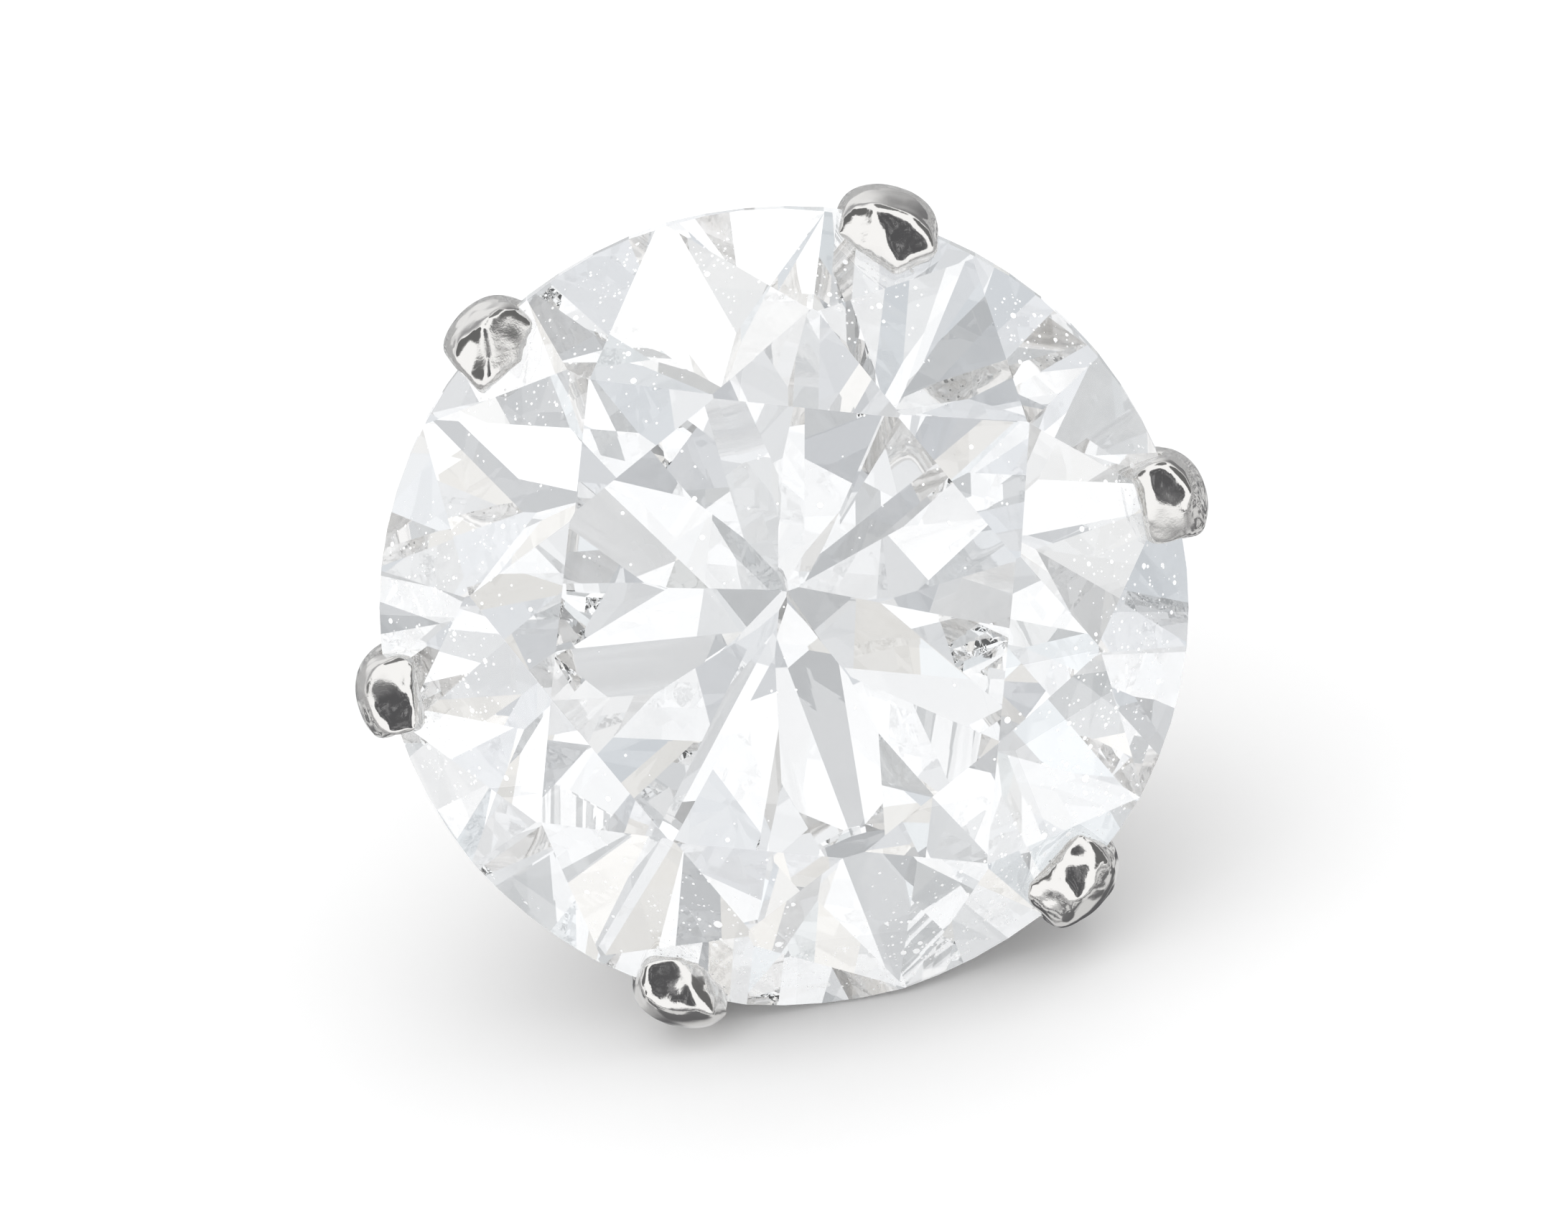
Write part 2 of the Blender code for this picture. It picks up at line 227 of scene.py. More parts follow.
class Value:
    """A number in a node tree. Python's operators add Math nodes to it."""

    def __init__(self, tree, socket):
        self.tree, self.socket = tree, socket

    def maths(self, operation, first, second=0.0, clamp=False):
        """The number that a Math node makes of two others."""
        return self.tree.value("Math", {"operation": operation, "use_clamp": clamp}, i0=first, i1=second)

    def __add__(self, other):
        return self.maths("ADD", self, other)

    def __radd__(self, other):
        return self.maths("ADD", other, self)

    def __sub__(self, other):
        return self.maths("SUBTRACT", self, other)

    def __rsub__(self, other):
        return self.maths("SUBTRACT", other, self)

    def __mul__(self, other):
        return self.maths("MULTIPLY", self, other)

    def __rmul__(self, other):
        return self.maths("MULTIPLY", other, self)

    def __lt__(self, other):
        return self.maths("LESS_THAN", self, other)

    def __gt__(self, other):
        return self.maths("GREATER_THAN", self, other)

    def clamped(self):
        return self.maths("ADD", self, 0.0, clamp=True)

    def between(self, low, high):
        """0 up to low and 1 from high on, with a soft rise between them."""
        settings = {"interpolation_type": "SMOOTHSTEP"}
        return self.tree.value("MapRange", settings, Value=self, From_Min=low, From_Max=high)


class EarringStone(PropertyGroup):
    ior: FloatProperty(name="Refractive index", description="Refractive index of the stone", default=2.417)
    dust: FloatProperty(name="Dust", description="How much dust lies on the crown", default=1.0)


class EarringSetting(PropertyGroup):
    claw_width: FloatProperty(
        name="Claw width", description="Width of the claw wire along the girdle", default=0.0012,
        unit="LENGTH",
    )
    claw_thickness: FloatProperty(
        name="Claw thickness", description="Thickness of the claw wire, away from the stone", default=0.00085,
        unit="LENGTH",
    )
    overhang: FloatProperty(
        name="Overhang", description="How far the claws stand out past the girdle", default=0.00042,
        unit="LENGTH",
    )
    lean: FloatProperty(
        name="Lean", description="Outward lean of the claws below the girdle", default=math.radians(32.0),
        subtype="ANGLE",
    )
    bend_radius: FloatProperty(
        name="Bend radius", description="Radius of the bend over the girdle", default=0.0015, unit="LENGTH"
    )
    close: FloatProperty(
        name="Close", description="Inward lean of the claw tips", default=math.radians(26.0), subtype="ANGLE"
    )
    tip_length: FloatProperty(
        name="Tip length", description="Length of a claw's rounded end", default=0.00038, unit="LENGTH"
    )
    rail_drop: FloatProperty(
        name="Rail drop", description="From the girdle down to the rail", default=0.0023, unit="LENGTH"
    )
    rail_width: FloatProperty(
        name="Rail wire", description="Diameter of the rail's wire", default=0.0006, unit="LENGTH"
    )
    base_diameter: FloatProperty(
        name="Base diameter", description="Diameter of the base plate", default=0.0050, unit="LENGTH"
    )
    base_thickness: FloatProperty(
        name="Base thickness", description="Thickness of the base plate", default=0.0006, unit="LENGTH"
    )
    post_diameter: FloatProperty(
        name="Post diameter", description="Diameter of the ear post", default=0.0009, unit="LENGTH"
    )
    grain: FloatProperty(
        name="Grain", description="Size of the mesh's faces, which also softens edges and joints",
        default=0.000066, unit="LENGTH",
    )
    colour: FloatVectorProperty(
        name="Colour", description="Colour of the metal", subtype="COLOR", default=(0.80, 0.79, 0.775)
    )


class EarringStage(PropertyGroup):
    floor_colour: FloatVectorProperty(
        name="Floor", description="Colour of the floor", subtype="COLOR", default=(0.95, 0.95, 0.95)
    )
    distance: FloatProperty(
        name="Distance", description="From the head to the camera", default=0.30, unit="LENGTH"
    )
    frame_height: FloatProperty(
        name="Framed height", description="Height of the picture at the head", default=0.0150, unit="LENGTH"
    )
    view_rise: FloatProperty(
        name="View rise", description="Angle of the view above the stone's axis", default=math.radians(10.0),
        subtype="ANGLE",
    )


def in_millimetres(tree):
    """Object coordinates in millimetres."""
    return tree.vector("MULTIPLY", tree.node("TexCoord").outputs["Object"], (1 / MM,) * 3)


def specks(tree, where, kind, cover):
    """1 on the specks of a kind, which differ in size and are as many as cover allows."""
    cells = tree.node("TexVoronoi", {"feature": "F1"}, Vector=where, Scale=1 / kind.cell)
    chance = tree.node("SeparateColor", Color=cells.outputs["Color"])
    near = Value(tree, cells.outputs["Distance"])
    lot = Value(tree, chance.outputs["Red"])
    largest = kind.radius / kind.cell
    reach = Value(tree, chance.outputs["Green"]) * largest + 0.3 * largest
    return (near < reach) * (lot < cover * kind.share)


def dust_on_crown(tree, where, height, amount):
    """Where dust lies: in drifts, mostly off the table, and beside the claws."""
    rim = 1 - height.between(GIRDLE_TOP + 0.5, TABLE_HEIGHT)
    drifts = tree.value("TexNoise", Vector=where, Scale=0.5, Detail=3.0, Roughness=0.6)
    cover = drifts.between(0.41, 0.56) * (0.06 + 0.94 * rim)
    for claw in CLAWS:
        turn = math.radians(claw.angle)
        out = STONE_RADIUS * DUST_OUT
        corner = LYING @ Vector((out * math.cos(turn), out * math.sin(turn), DUST_HEIGHT))
        gap = tree.measure("DISTANCE", where, tuple(corner / MM))
        cover = cover + (1 - gap.between(DUST_FULL, DUST_END)) * 0.8
    cover = (cover * amount).clamped()
    fine, middling, coarse = (specks(tree, where, kind, cover) for kind in SPECKS)
    return (fine + middling + coarse).clamped()


def diamond_material(settings):
    """A clear, sharp stone with dull specks of dust on the outside of its crown."""
    material = bpy.data.materials.new("diamond")
    tree = Tree(material)
    where = in_millimetres(tree)
    height = tree.dot(tree.vector("SUBTRACT", where, tuple(GIRDLE_CENTRE / MM)), tuple(AXIS))
    dust = dust_on_crown(tree, where, height, settings.dust)
    outside = 1 - Value(tree, tree.node("NewGeometry").outputs["Backfacing"])
    gem = tree.node(
        "BsdfPrincipled", Base_Color=(1.0, 1.0, 1.0, 1.0), Roughness=0.0, IOR=settings.ior,
        Transmission_Weight=1.0,
    )
    fluff = tree.node("BsdfPrincipled", Base_Color=(0.95, 0.955, 0.96, 1.0), Roughness=0.9)
    dusty = tree.node("MixShader", Fac=dust * 0.9, i1=gem.outputs[0], i2=fluff.outputs[0])
    crown = outside * (height > GIRDLE_TOP + 0.01)
    whole = tree.node("MixShader", Fac=crown, i1=gem.outputs[0], i2=dusty.outputs[0])
    tree.node("OutputMaterial", Surface=whole.outputs[0])
    return material


class EARRING_OT_stone(Operator):
    """Give the stone its clear, slightly dusty finish"""

    bl_idname = "earring.stone"
    bl_label = "Stone"

    def execute(self, context):
        stone = frame["nodes"]["round_stone"]
        stone.material_slots[0].material = diamond_material(context.scene.earring_stone)
        return {"FINISHED"}


def mesh_object(name, shape):
    """A new object in the scene from a bmesh, which is used up."""
    mesh = bpy.data.meshes.new(name)
    shape.to_mesh(mesh)
    shape.free()
    obj = bpy.data.objects.new(name, mesh)
    bpy.context.scene.collection.objects.link(obj)
    return obj


def finished(obj):
    """The object's shape with its modifiers applied, as a bmesh. The object is used up."""
    bpy.context.view_layer.update()
    shape = bmesh.new()
    shape.from_object(obj, bpy.context.evaluated_depsgraph_get())
    mesh = obj.data
    bpy.data.objects.remove(obj)
    bpy.data.meshes.remove(mesh)
    return shape


def gather(whole, part):
    """Add a part's faces to a whole. The part is used up."""
    mesh = bpy.data.meshes.new("part")
    part.to_mesh(mesh)
    part.free()
    whole.from_mesh(mesh)
    bpy.data.meshes.remove(mesh)


def leg_radius(sizes, height):
    """How far a claw's centre line stands from the axis at a height on its straight leg."""
    bend = sizes.bend_radius / MM
    centre = STONE_RADIUS + (sizes.overhang - sizes.claw_thickness / 2) / MM - bend
    leg_top = -bend * math.sin(sizes.lean)
    return centre + bend * math.cos(sizes.lean) + (height - leg_top) * math.tan(sizes.lean)


def leg_stations(sizes):
    """(radius, height, lean, share of the full section) along a claw's leg, from the base up to the bend."""
    foot = BASE_BACK + sizes.base_thickness / MM / 2
    top = -sizes.bend_radius / MM * math.sin(sizes.lean)
    return [(leg_radius(sizes, height), height, sizes.lean, 1.0) for height in (foot, top)]


def tip_stations(sizes, claw):
    """The same round a claw's bend and along its rounded tip."""
    bend = sizes.bend_radius / MM
    centre = STONE_RADIUS + (sizes.overhang - sizes.claw_thickness / 2) / MM - bend
    last_lean = -sizes.close * claw.close
    stations = []
    for step in range(BEND_STEPS + 1):
        lean = sizes.lean + (last_lean - sizes.lean) * step / BEND_STEPS
        stations.append((centre + bend * math.cos(lean), -bend * math.sin(lean), lean, 1.0))
    end_radius, end_height = stations[-1][:2]
    for step in range(1, TIP_STEPS + 1):
        turn = math.pi / 2 * step / (TIP_STEPS + 1)
        run = sizes.tip_length / MM * math.sin(turn)
        radius, height = end_radius + run * math.sin(last_lean), end_height + run * math.cos(last_lean)
        stations.append((radius, height, last_lean, math.cos(turn)))
    return stations


def claw_section(point):
    """A unit circle's point moved onto a claw's section, round outside and nearly square inside."""
    power = 2 / (OUTER_POWER if point.x > 0 else INNER_POWER)
    return math.copysign(abs(point.x) ** power, point.x), math.copysign(abs(point.y) ** power, point.y)


def swept(sizes, claw, stations):
    """A claw's section swept through stations and closed at both ends."""
    shape = bmesh.new()
    half_width = sizes.claw_width / MM * claw.width / 2
    half_thickness = sizes.claw_thickness / MM / 2
    stand = Matrix.Rotation(math.radians(claw.angle), 3, "Z")
    loops = []
    for radius, height, lean, share in stations:
        bent = (sizes.lean - lean) / (sizes.lean + sizes.close)
        spin = stand @ Matrix.Rotation(math.radians(claw.sway) * bent, 3, "X")
        circle = bmesh.ops.create_circle(shape, segments=CLAW_SIDES, radius=1.0)["verts"]
        for vertex in circle:
            across, along = claw_section(vertex.co)
            outwards = radius + half_thickness * share * across * math.cos(lean)
            upwards = height - half_thickness * share * across * math.sin(lean)
            vertex.co = spin @ Vector((outwards, half_width * share * along, upwards))
        loops.append(list({edge for vertex in circle for edge in vertex.link_edges}))
    for lower, upper in zip(loops, loops[1:]):
        bmesh.ops.bridge_loops(shape, edges=lower + upper)
    for end in (loops[0], loops[-1]):
        bmesh.ops.edgeloop_fill(shape, edges=end)
    bmesh.ops.recalc_face_normals(shape, faces=shape.faces[:])
    return shape


def file_flat(shape, point, facing):
    """Take off what lies beyond a plane, and close the cut."""
    geometry = shape.verts[:] + shape.edges[:] + shape.faces[:]
    cut = bmesh.ops.bisect_plane(
        shape, geom=geometry, dist=MERGE_GAP, plane_co=point, plane_no=facing, clear_outer=True
    )
    rim = [part for part in cut["geom_cut"] if isinstance(part, bmesh.types.BMEdge)]
    bmesh.ops.edgeloop_fill(shape, edges=rim)


def claw_tip(sizes, claw):
    """A claw's bend and tip, filed flat where the table of flats says."""
    shape = swept(sizes, claw, tip_stations(sizes, claw))
    stand = Matrix.Rotation(math.radians(claw.angle), 3, "Z")
    edge = Vector((STONE_RADIUS, 0, 0))
    for flat in FLATS:
        if flat.claw == claw.angle:
            turn, rise = math.radians(flat.turn), math.radians(flat.rise)
            level = math.cos(rise)
            facing = Vector((level * math.cos(turn), level * math.sin(turn), math.sin(rise)))
            file_flat(shape, stand @ (edge + facing * flat.reach), stand @ facing)
    return shape


def arc(centre, radius, start, end, steps=8):
    """(radius, height) points of an arc in a half plane through the axis, its two ends included."""
    turns = [start + (end - start) * step / steps for step in range(steps + 1)]
    return [(centre[0] + radius * math.cos(turn), centre[1] + radius * math.sin(turn)) for turn in turns]


def turned(profile, sides, closed=False):
    """A body turned on the lathe about Z from (radius, height) points."""
    shape = bmesh.new()
    points = [shape.verts.new((radius, 0.0, height)) for radius, height in profile]
    following = points[1:] + points[:1] if closed else points[1:]
    edges = [shape.edges.new(pair) for pair in zip(points, following)]
    bmesh.ops.spin(
        shape, geom=points + edges, cent=(0, 0, 0), axis=(0, 0, 1), angle=2 * math.pi, steps=sides,
        use_merge=True,
    )
    bmesh.ops.remove_doubles(shape, verts=shape.verts[:], dist=MERGE_GAP)
    bmesh.ops.recalc_face_normals(shape, faces=shape.faces[:])
    return shape


def post_and_base(sizes):
    """The base plate and the ear post on its back, with the clutch's groove near the post's tip."""
    base_radius, post_radius = sizes.base_diameter / MM / 2, sizes.post_diameter / MM / 2
    base_top = BASE_BACK + sizes.base_thickness / MM
    groove_radius = ((NOTCH_WIDTH / 2) ** 2 + NOTCH_DEPTH**2) / (2 * NOTCH_DEPTH)
    groove_turn = math.asin(NOTCH_WIDTH / 2 / groove_radius)
    groove_centre = (post_radius - NOTCH_DEPTH + groove_radius, POST_END + NOTCH_FROM_TIP)
    quarter = math.pi / 2
    profile = [
        (0.0, base_top),
        *arc((base_radius - EDGE_RADIUS, base_top - EDGE_RADIUS), EDGE_RADIUS, quarter, 0.0),
        *arc((base_radius - EDGE_RADIUS, BASE_BACK + EDGE_RADIUS), EDGE_RADIUS, 0.0, -quarter),
        *arc((post_radius + FILLET, BASE_BACK - FILLET), FILLET, quarter, 2 * quarter),
        *arc(groove_centre, groove_radius, 2 * quarter - groove_turn, 2 * quarter + groove_turn),
        *arc((post_radius - POST_TIP_RADIUS, POST_END + POST_TIP_RADIUS), POST_TIP_RADIUS, 0.0, -quarter),
        (0.0, POST_END),
    ]
    return turned(profile, POST_SIDES)


def rail(sizes):
    """The wire ring that ties the claws together under the girdle."""
    half = sizes.rail_width / MM / 2
    drop = sizes.rail_drop / MM
    middle = leg_radius(sizes, -drop) - sizes.claw_thickness / MM / 2 + half
    circle = arc((middle, -drop), half, 0, 2 * math.pi, RAIL_WIRE_SIDES)
    return turned(circle[:-1], RAIL_SIDES, closed=True)


def seat_cutter():
    """The stone, upright and a hair larger all round."""
    shape = bmesh.new()
    shape.from_mesh(frame["nodes"]["round_stone"].data)
    bmesh.ops.transform(shape, matrix=LYING.inverted(), verts=shape.verts)
    bmesh.ops.remove_doubles(shape, verts=shape.verts[:], dist=MERGE_GAP)
    bmesh.ops.scale(shape, vec=(1 + SEAT_GAP / STONE_RADIUS,) * 3, verts=shape.verts)
    return mesh_object("seat_cutter", shape)


def stone_facets():
    """The planes of the stone's facets, upright: outward normals, and distances from the origin."""
    turn = np.array(TURN)
    centre = np.array(GIRDLE_CENTRE)
    planes = {}
    for face in frame["nodes"]["round_stone"].data.polygons:
        normal = np.array(face.normal) @ turn
        depth = (np.array(face.center) - centre) @ turn @ normal / MM
        planes[tuple(np.round([*normal, depth], 3))] = (normal, depth)
    normals, depths = zip(*planes.values())
    return np.array(normals), np.array(depths)


def seat_on_stone(points):
    """Points that reach into the stone's seat, moved out to it."""
    normals, depths = stone_facets()
    over = points @ normals.T - (depths + SEAT_GAP)
    nearest = over.argmax(axis=1)
    short = over.max(axis=1).clip(max=0.0)
    return points - normals[nearest] * short[:, None]


def setting_shape(sizes):
    """The claws, rail, base and post soldered into one body, upright and in millimetres."""
    cutter = seat_cutter()
    whole = bmesh.new()
    for claw in CLAWS:
        tip = mesh_object("claw_tip", claw_tip(sizes, claw))
        seat = tip.modifiers.new("Seat", "BOOLEAN")
        seat.operation, seat.solver, seat.object = "DIFFERENCE", "EXACT", cutter
        gather(whole, finished(tip))
        gather(whole, swept(sizes, claw, leg_stations(sizes)))
    gather(whole, post_and_base(sizes))
    gather(whole, rail(sizes))
    bpy.data.objects.remove(cutter)
    body = mesh_object("soldered", whole)
    solder = body.modifiers.new("Solder", "REMESH")
    solder.mode, solder.voxel_size, solder.adaptivity = "VOXEL", sizes.grain / MM, 0.0
    polish = body.modifiers.new("Polish", "SMOOTH")
    polish.factor, polish.iterations = 0.5, 8
    return finished(body)


def burnish(shape):
    """Give the claw tips finer faces and the shallow waves that hand tools leave on them."""
    tips = [edge for edge in shape.edges if min(vertex.co.z for vertex in edge.verts) > BURNISH_FROM]
    bmesh.ops.subdivide_edges(shape, edges=tips, cuts=1, smooth=1.0, use_grid_fill=True)
    shape.normal_update()
    for vertex in shape.verts:
        reach = min(max((vertex.co.z - BURNISH_FROM) / (BURNISH_FULL - BURNISH_FROM), 0.0), 1.0)
        if reach:
            coarse = noise.noise(vertex.co * COARSE_WAVES) * COARSE_DEPTH
            fine = noise.noise(vertex.co * FINE_WAVES + FINE_SHIFT) * FINE_DEPTH
            vertex.co += vertex.normal * (coarse + fine) * reach


def metal_material(sizes):
    """Polished white metal with faint ripples, duller where it is worn or pitted."""
    material = bpy.data.materials.new("white_gold")
    tree = Tree(material)
    where = in_millimetres(tree)
    wear = tree.value("TexNoise", Vector=where, Scale=2.5, Detail=4.0, Roughness=0.6)
    ripple = tree.value("TexNoise", Vector=where, Scale=9.0, Detail=3.0, Roughness=0.55)
    pitted = tree.value("TexNoise", Vector=where, Scale=1.1, Detail=1.0).between(0.56, 0.66)
    grit = tree.value("TexNoise", Vector=where, Scale=16.0, Detail=3.0, Roughness=0.7)
    height = ripple * 0.0025 + pitted * grit * 0.005
    relief = tree.node("Bump", Height=height * MM, Distance=1.0, Strength=1.0)
    shader = tree.node(
        "BsdfPrincipled", Base_Color=(*sizes.colour, 1.0), Metallic=1.0, Normal=relief.outputs[0],
        Roughness=0.06 + 0.10 * wear.between(0.45, 0.75) + 0.16 * pitted,
    )
    tree.node("OutputMaterial", Surface=shader.outputs[0])
    return material


class EARRING_OT_setting(Operator):
    """Model the setting: claws, rail, base plate and post, soldered into one piece"""

    bl_idname = "earring.setting"
    bl_label = "Setting"

    def execute(self, context):
        sizes = context.scene.earring_setting
        shape = setting_shape(sizes)
        burnish(shape)
        points = np.array([vertex.co for vertex in shape.verts])
        for vertex, point in zip(shape.verts, seat_on_stone(points)):
            vertex.co = point
        bmesh.ops.transform(shape, matrix=LYING, verts=shape.verts)
        bmesh.ops.recalc_face_normals(shape, faces=shape.faces[:])
        setting = mesh_object("claw_setting_finish", shape)
        setting.data.shade_smooth()
        setting.data.materials.append(metal_material(sizes))
        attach(setting, "root")
        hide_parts("claw_setting")
        return {"FINISHED"}


def view_axes(settings):
    """The way from the head to the camera, and the way up in the picture."""
    along, aside = math.cos(settings.view_rise), math.sin(settings.view_rise)
    return AXIS * along + TOP * aside, TOP * along - AXIS * aside


# Shades in the studio, as seen from the head. Each lies across and up from the camera in shares of its
# distance, is full within inner degrees and gone past outer degrees, and has its own strength and colour.
Shade = namedtuple("Shade", "across up inner outer strength colour")
STONE_SHADES = (
    Shade(across=0.0, up=0.0, inner=9.0, outer=13.0, strength=0.7, colour=(0.50, 0.52, 0.55)),
    Shade(across=0.55, up=0.25, inner=8.0, outer=14.0, strength=0.6, colour=(0.55, 0.58, 0.62)),
    Shade(across=-0.5, up=0.5, inner=10.0, outer=15.0, strength=0.6, colour=(0.55, 0.58, 0.62)),
    Shade(across=-0.75, up=-0.1, inner=8.0, outer=12.0, strength=0.6, colour=(0.6, 0.6, 0.6)),
    Shade(across=0.15, up=0.85, inner=12.0, outer=16.0, strength=0.6, colour=(0.55, 0.58, 0.62)),
    Shade(across=0.9, up=-0.4, inner=9.0, outer=14.0, strength=0.6, colour=(0.62, 0.61, 0.58)),
)
METAL_SHADES = (
    Shade(across=0.0, up=0.0, inner=19.0, outer=23.0, strength=0.95, colour=(0.05, 0.05, 0.055)),
    Shade(across=-2.4, up=0.5, inner=20.0, outer=26.0, strength=0.9, colour=(0.05, 0.05, 0.05)),
    Shade(across=2.4, up=1.2, inner=20.0, outer=26.0, strength=0.9, colour=(0.05, 0.05, 0.05)),
    Shade(across=0.3, up=2.8, inner=16.0, outer=22.0, strength=0.85, colour=(0.06, 0.06, 0.06)),
)


def mirrored_in_metal(tree):
    """How far a ray shows what the metal mirrors, which is less where the metal lies behind the stone.

    Only the stone's facets mirror perfectly sharply, so their rays are singular and the metal's are not.
    """
    rays = tree.node("LightPath").outputs
    scattered = Value(tree, rays["Is Glossy Ray"]) * (1 - Value(tree, rays["Is Singular Ray"]))
    behind_stone = Value(tree, rays["Transmission Depth"]) > 0.5
    return scattered * (1 - Value(tree, rays["Is Transmission Ray"])) * (1 - 0.6 * behind_stone)


def cone(tree, where, towards, inner, outer):
    """1 within inner degrees of a direction and 0 past outer degrees."""
    limits = math.cos(math.radians(outer)), math.cos(math.radians(inner))
    return tree.dot(where, tuple(towards)).between(*limits)


def shaded(tree, where, colour, shades, view):
    """A colour with shades laid over it, one after the other."""
    back, top = view
    for shade in shades:
        towards = (back + top.cross(back) * shade.across + top * shade.up).normalized()
        cover = cone(tree, where, towards, shade.inner, shade.outer) * shade.strength
        colour = tree.mix(cover, colour, (*shade.colour, 1.0))
    return colour


def studio_in_stone(tree, where, view):
    """What the stone mirrors and bends: walls of white and grey panels, a few of them cream or cool."""
    panels = tree.node("TexVoronoi", {"feature": "F1"}, Vector=where, Scale=6.0).outputs["Color"]
    lots = [Value(tree, lot) for lot in tree.node("SeparateColor", Color=panels).outputs]
    wall = tree.mix(lots[0].between(0.18, 0.50), (0.46, 0.475, 0.49, 1.0), (1.16, 1.17, 1.18, 1.0))
    wall = tree.mix((lots[1] > 0.84) * 0.6, wall, (1.0, 0.965, 0.90, 1.0))
    wall = tree.mix((lots[2] > 0.82) * 0.6, wall, (0.80, 0.86, 0.90, 1.0))
    return shaded(tree, where, wall, STONE_SHADES, view)


def studio_in_metal(tree, where, view):
    """What the metal mirrors: a white wall round the murky lens, and streaks behind, darker on the right."""
    back, top = view
    right = tree.dot(where, tuple(top.cross(back)))
    streaks = tree.value("TexNoise", Vector=where, Scale=1.3, Detail=1.0, Roughness=0.5)
    far_wall = tree.mix(streaks.between(0.40, 0.60), (0.40, 0.40, 0.41, 1.0), (0.95, 0.95, 0.95, 1.0))
    far_wall = tree.mix(right.between(-0.3, 0.5) * 0.85, far_wall, (0.12, 0.12, 0.125, 1.0))
    in_front = tree.dot(where, tuple(back)).between(-0.35, 0.15)
    wall = tree.mix(in_front, far_wall, (1.15, 1.15, 1.15, 1.0))
    wall = shaded(tree, where, wall, METAL_SHADES, view)
    lens = METAL_SHADES[0]
    murk = tree.value("TexNoise", Vector=where, Scale=9.0, Detail=2.0, Roughness=0.6).between(0.45, 0.7)
    in_lens = cone(tree, where, back, lens.inner, lens.outer)
    return tree.mix(in_lens * murk * 0.35, wall, (0.6, 0.6, 0.61, 1.0))


def light_the_studio(settings):
    """White light all round. The stone and the metal each see their own shades in it."""
    world = bpy.data.worlds.new("studio")
    bpy.context.scene.world = world
    tree = Tree(world)
    where = tree.node("TexCoord").outputs["Generated"]
    view = view_axes(settings)
    plain = tree.node("Background", Color=(1.0, 1.0, 1.0, 1.0), Strength=1.22)
    metal_view = tree.node("Background", Color=studio_in_metal(tree, where, view), Strength=1.0)
    stone_view = tree.node("Background", Color=studio_in_stone(tree, where, view), Strength=1.0)
    in_metal = mirrored_in_metal(tree)
    in_stone = tree.node("LightPath").outputs["Is Singular Ray"]
    seen = tree.node("MixShader", Fac=in_metal, i1=plain.outputs[0], i2=metal_view.outputs[0])
    seen = tree.node("MixShader", Fac=in_stone, i1=seen.outputs[0], i2=stone_view.outputs[0])
    tree.node("OutputWorld", Surface=seen.outputs[0])


def painted_reflection_in_metal(tree, where):
    """Painted reflection in the floor for the metal's rays: dark and light blotches near it, white towards
    the camera.
    """
    blotches = tree.value("TexNoise", Vector=where, Scale=640.0, Detail=1.0)
    # Painted reflection of dark and light blotches, which glows on the floor.
    painted_reflection_blotches = tree.mix(blotches.between(0.42, 0.58), (0.04, 0.04, 0.045, 1.0), (0.64, 0.64, 0.64, 1.0))
    in_front = tree.dot(where, (0.0, -1.0, 0.0))
    return tree.mix(in_front.between(0.013, 0.028), painted_reflection_blotches, (0.95, 0.95, 0.95, 1.0))


def lay_floor(settings):
    """A pale floor with painted reflections for mirror rays: grey cards in the stone, glowing blotches in the
    metal.
    """
    shape = bmesh.new()
    bmesh.ops.create_grid(shape, x_segments=1, y_segments=1, size=FLOOR_HALF)
    floor = mesh_object("floor", shape)
    material = bpy.data.materials.new("floor")
    tree = Tree(material)
    where = tree.node("TexCoord").outputs["Object"]
    far = tree.measure("LENGTH", where).between(0.004, 0.010)
    in_stone = Value(tree, tree.node("LightPath").outputs["Is Singular Ray"])
    in_metal = mirrored_in_metal(tree)
    # Painted reflection: grey cards that the stone's mirror rays see on the floor away from the earring.
    painted_card_cells = tree.node("TexVoronoi", {"feature": "F1"}, Vector=where, Scale=150.0).outputs["Color"]
    lot = Value(tree, tree.node("SeparateColor", Color=painted_card_cells).outputs[0])
    painted_reflection_cards = tree.mix(lot.between(0.22, 0.55), (0.405, 0.42, 0.43, 1.0), (0.855, 0.865, 0.875, 1.0))
    colour = tree.mix(in_stone * far, (*settings.floor_colour, 1.0), painted_reflection_cards)
    # For the metal's rays the floor is dark, and the painted reflection of blotches glows on it, free of any
    # shadow.
    colour = tree.mix(in_metal, colour, (0.1, 0.1, 0.1, 1.0))
    painted_reflection_glow = tree.mix(in_metal, (0.0, 0.0, 0.0, 1.0), painted_reflection_in_metal(tree, where))
    shader = tree.node(
        "BsdfPrincipled", Base_Color=colour, Roughness=0.8, Emission_Color=painted_reflection_glow, Emission_Strength=1.0
    )
    tree.node("OutputMaterial", Surface=shader.outputs[0])
    floor.data.materials.append(material)


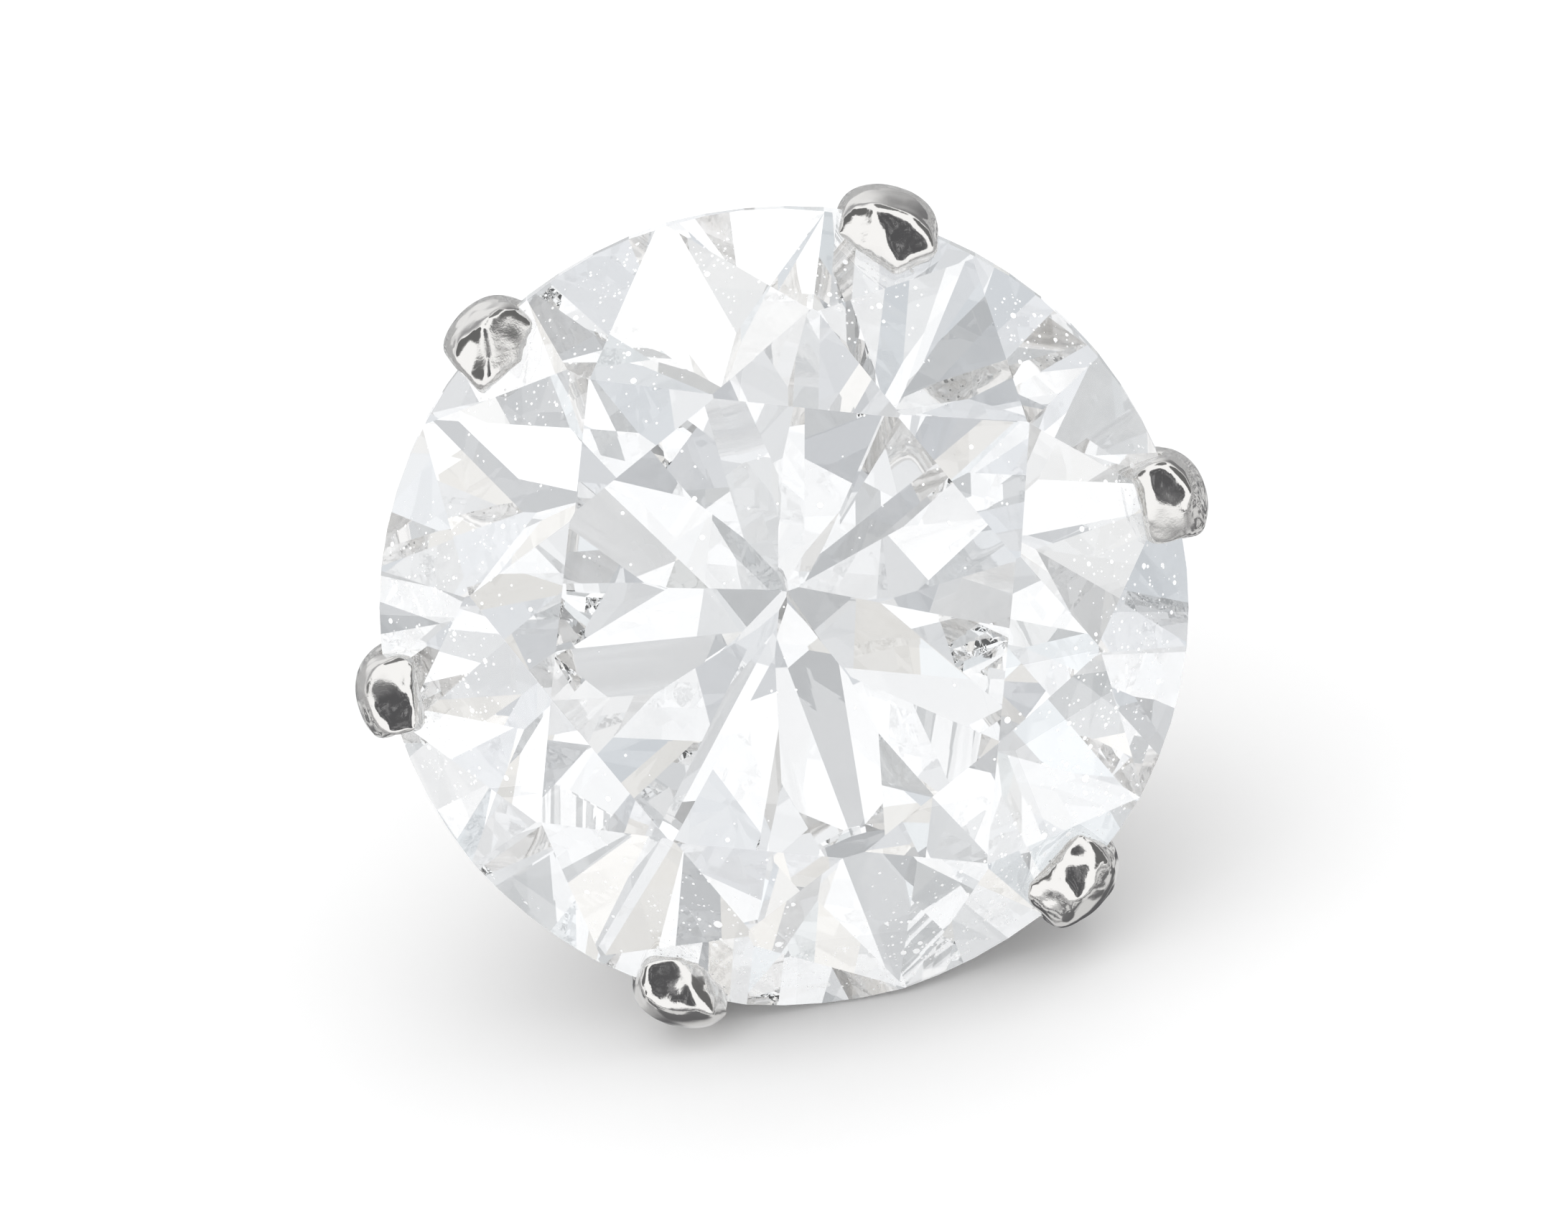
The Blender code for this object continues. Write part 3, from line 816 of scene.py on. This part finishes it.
def set_camera(settings):
    """The camera, looking at the girdle's middle at the photo's angle."""
    back, top = view_axes(settings)
    data = bpy.data.cameras.new("camera")
    camera = bpy.data.objects.new("camera", data)
    bpy.context.scene.collection.objects.link(camera)
    turn = Matrix((top.cross(back), top, back)).transposed()
    camera.matrix_world = Matrix.Translation(GIRDLE_CENTRE + back * settings.distance) @ turn.to_4x4()
    frame_width = settings.frame_height * PHOTO_WIDTH / PHOTO_HEIGHT
    data.sensor_width = SENSOR_WIDTH
    data.lens = SENSOR_WIDTH * settings.distance / frame_width
    data.clip_start, data.clip_end = 0.01, 10.0
    bpy.context.scene.camera = camera


class EARRING_OT_stage(Operator):
    """Lay the floor, light the studio and set the camera"""

    bl_idname = "earring.stage"
    bl_label = "Stage"

    def execute(self, context):
        settings = context.scene.earring_stage
        lay_floor(settings)
        light_the_studio(settings)
        set_camera(settings)
        scene = context.scene
        scene.view_settings.view_transform = "Standard"
        scene.cycles.max_bounces = BOUNCES
        scene.cycles.glossy_bounces = BOUNCES
        scene.cycles.transmission_bounces = BOUNCES
        return {"FINISHED"}


class EARRING_PT_panel(Panel):
    """The earring's stone, setting and stage, with their sizes and colours"""

    bl_label = "Stud earring"
    bl_idname = "EARRING_PT_panel"
    bl_space_type = "VIEW_3D"
    bl_region_type = "UI"
    bl_category = "Earring"

    def draw(self, context):
        for name, operator in zip(SETTINGS, OPERATORS):
            box = self.layout.box()
            settings = getattr(context.scene, name)
            for size in settings.bl_rna.properties.keys():
                if size not in {"rna_type", "name"}:
                    box.prop(settings, size)
            box.operator(operator.bl_idname)


SETTINGS = {"earring_stone": EarringStone, "earring_setting": EarringSetting, "earring_stage": EarringStage}
OPERATORS = (EARRING_OT_stone, EARRING_OT_setting, EARRING_OT_stage)
CLASSES = (*SETTINGS.values(), *OPERATORS, EARRING_PT_panel)


def register():
    for kind in CLASSES:
        bpy.utils.register_class(kind)
    for name, group in SETTINGS.items():
        setattr(bpy.types.Scene, name, PointerProperty(type=group))


def unregister():
    for name in SETTINGS:
        delattr(bpy.types.Scene, name)
    for kind in reversed(CLASSES):
        bpy.utils.unregister_class(kind)


def main():
    register()
    bpy.ops.earring.stone()
    bpy.ops.earring.setting()
    bpy.ops.earring.stage()


if __name__ == "__main__":
    main()
